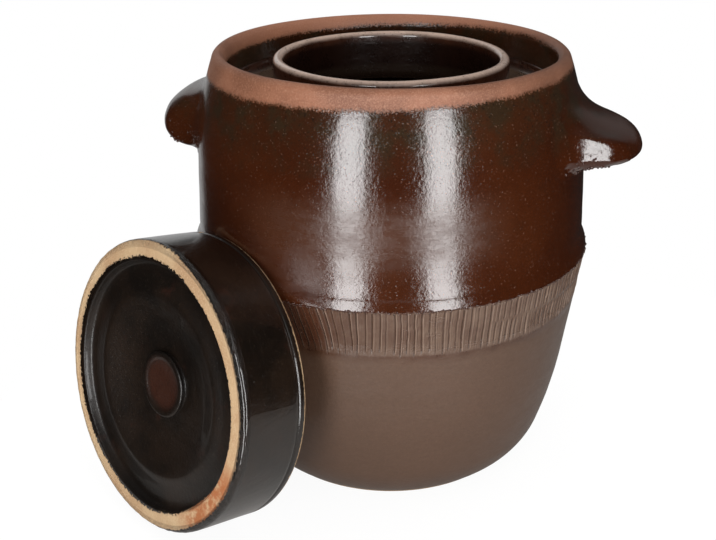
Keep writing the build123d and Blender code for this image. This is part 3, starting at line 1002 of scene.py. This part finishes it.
def make_knob(glaze, place):
    """The low round grip in the dish, a little narrower at its root than at its edge."""
    root = -DISH_DEPTH
    top = root + KNOB_HEIGHT
    edge = KNOB_RADIUS
    knob = [(0, root - 0.001), (0.012, root - 0.001)]
    knob += curve_through([(edge - 0.0008, root - 0.001), (edge - 0.0017, root + 0.0004),
                           (edge - 0.0018, root + 0.0018), (edge - 0.0006, top - 0.0018),
                           (edge - 0.0001, top - 0.0009), (edge - 0.0007, top - 0.0002),
                           (edge - 0.0020, top), (edge - 0.0038, top - 0.0003),
                           (edge - 0.0060, top - 0.0012), (edge / 2, top - 0.0020),
                           (0.0050, top - 0.0022)], 4)
    knob += [(0, top - 0.0022)]
    columns = LID_COLUMNS // 2
    grip = thrown("lid_knob_turned", with_columns(knob, columns), glaze, knob_shape, place)
    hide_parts("lid_knob")
    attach(grip, "lid")


def knob_shape(radius, height, angle):
    if radius < 0.001:
        return radius, height
    lump = round_noise(angle, 1.2, radius * 90)
    return radius * (1 - 0.012 * (lump + 0.8)), height + 0.0003 * lump * smooth(0, 0.01, radius)


# Stage, light and camera

def ray_kinds(start):
    """1 for what the camera sees straight or through a piece, and 1 for what gloss sees."""
    rays = start.node("ShaderNodeLightPath").socket.node.outputs
    camera, through, glossy = [Field(start.tree, rays[name]) for name in (
        "Is Camera Ray", "Is Transmission Ray", "Is Glossy Ray")]
    return camera.largest(through), glossy


def make_stage():
    """A pale round table, white to the camera save for the object's shadow. Gloss sees it
    dimmer, and palest in the middle."""
    middle_x, middle_y = TABLE_MIDDLE
    turn = [2 * math.pi * i / TABLE_CORNERS for i in range(TABLE_CORNERS)]
    rim = [(middle_x + TABLE_RADIUS * math.cos(a), middle_y + TABLE_RADIUS * math.sin(a),
            TABLE_TOP) for a in turn]
    material = bpy.data.materials.new("table")
    material.use_nodes = True
    material.node_tree.nodes.clear()
    start = Field(material.node_tree)
    straight_on, glossy = ray_kinds(start)
    x, y = start.node("ShaderNodeTexCoord", out=3).split()[:2]
    shine = (1 - from_axis(x - middle_x, y - middle_y).ramp(0.16, 0.36)) * 0.14
    board = start.node("ShaderNodeBsdfDiffuse", None, {"Color": (0.80, 0.79, 0.78)})
    white = start.node("ShaderNodeEmission", None, {"Color": (1.0, 1.0, 1.0), "Strength": 1.06})
    dim = start.node("ShaderNodeEmission", None, {"Color": (0.10, 0.085, 0.07), "Strength": 1.0})
    dimmed = start.node("ShaderNodeMixShader", None, {0: glossy * 0.70, 1: board, 2: dim})
    shown = start.node("ShaderNodeMixShader", None,
                       {0: straight_on * 0.88 + glossy * shine, 1: dimmed, 2: white})
    start.node("ShaderNodeOutputMaterial", None, {0: shown})
    table = mesh_object("table", rim, [tuple(range(TABLE_CORNERS))], material)


def make_world():
    """A soft studio, white to the camera. Gloss sees it dark but for a faint ceiling, the
    backdrop behind the jar, a panel behind its left and a high lamp in front."""
    world = bpy.data.worlds.new("studio")
    bpy.context.scene.world = world
    world.use_nodes = True
    world.node_tree.nodes.clear()
    start = Field(world.node_tree)
    straight_on, glossy = ray_kinds(start)
    way = start.node("ShaderNodeTexCoord")
    x, y, z = way.split()
    soft = 0.17 + y.ramp(-0.15, 0.55) * 0.38 + z.ramp(0.25, 0.9) * 0.80
    backdrop = y.ramp(0.45, 0.80) * (0.008 + z.ramp(0.05, 0.22) * 0.10)
    panel = y.ramp(0.62, 0.76) * x.within(-0.60, -0.46, -0.16, -0.10) * 0.42
    to_lamp = way.node("ShaderNodeVectorMath", {"operation": "DOT_PRODUCT"},
                       {0: way, 1: HIGH_LAMP}, out=1)
    studio = 0.007 + backdrop + panel + to_lamp.ramp(0.968, 0.988) * 9.0 + z.ramp(0.5, 0.9) * 0.07
    seen = straight_on + (1 - straight_on) * (glossy * studio + (1 - glossy) * soft)
    light = start.node("ShaderNodeBackground", None,
                       {"Color": seen.mix((0.0, 0.0, 0.0), (1.0, 1.0, 1.0)), "Strength": 1.0})
    start.node("ShaderNodeOutputWorld", None, {0: light})


def softbox(name, azimuth):
    """A tall lamp that faces the jar, the size of a studio softbox."""
    lamp = bpy.data.lights.new(name, "AREA")
    lamp.shape = "RECTANGLE"
    lamp.size = SOFTBOX_WIDTH
    lamp.size_y = SOFTBOX_HIGH - SOFTBOX_LOW
    lamp.energy = SOFTBOX_POWER
    holder = bpy.data.objects.new(name, lamp)
    bpy.context.scene.collection.objects.link(holder)
    away = direction(azimuth)
    place = away * SOFTBOX_DISTANCE
    place.z = (SOFTBOX_LOW + SOFTBOX_HIGH) / 2
    turn = Matrix((direction(azimuth + 90), Vector((0, 0, 1)), away)).transposed()
    holder.matrix_world = Matrix.Translation(place) @ turn.to_4x4()


def make_camera():
    forward = Vector((math.sin(CAMERA_YAW) * math.cos(CAMERA_PITCH),
                      math.cos(CAMERA_YAW) * math.cos(CAMERA_PITCH), -math.sin(CAMERA_PITCH)))
    level = forward.cross(Vector((0, 0, 1))).normalized()
    upright = level.cross(forward)
    right = level * math.cos(CAMERA_ROLL) + upright * math.sin(CAMERA_ROLL)
    up = upright * math.cos(CAMERA_ROLL) - level * math.sin(CAMERA_ROLL)
    lens = bpy.data.cameras.new("camera")
    lens.sensor_width = SENSOR
    lens.sensor_fit = "HORIZONTAL"
    lens.lens = FOCAL_PIXELS / IMAGE_WIDTH * SENSOR
    camera = bpy.data.objects.new("camera", lens)
    bpy.context.scene.collection.objects.link(camera)
    camera.matrix_world = Matrix.Translation(CAMERA_PLACE) @ Matrix(
        (right, up, -forward)).transposed().to_4x4()
    bpy.context.scene.camera = camera


make_camera()
make_stage()
make_world()
softbox("softbox_left", SOFTBOX_LEFT)
softbox("softbox_right", SOFTBOX_RIGHT)
bpy.context.scene.view_settings.view_transform = "Standard"

glaze = jar_glaze()
make_jar(glaze)
thin_glaze = neck_glaze()
make_neck(thin_glaze)
make_channel_floor(thin_glaze)
make_ear("ear_right_lug", "ear_right", 90 - EAR_TURN, EAR_RIGHT_HEIGHT, EAR_RIGHT_REACH,
         EAR_RIGHT_SECTION, EAR_RIGHT_LIFT, glaze)
make_ear("ear_left_lug", "ear_left", -90 - EAR_TURN, EAR_LEFT_HEIGHT, EAR_LEFT_REACH,
         EAR_LEFT_SECTION, EAR_LEFT_LIFT, glaze)
leaning = lid_place()
dark_glaze = lid_glaze(leaning)
make_cap(dark_glaze, leaning)
make_knob(dark_glaze, leaning)
stones = stone_glaze()
for stone in ("weight_back", "weight_front"):
    for material_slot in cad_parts[stone].material_slots:
        material_slot.material = stones
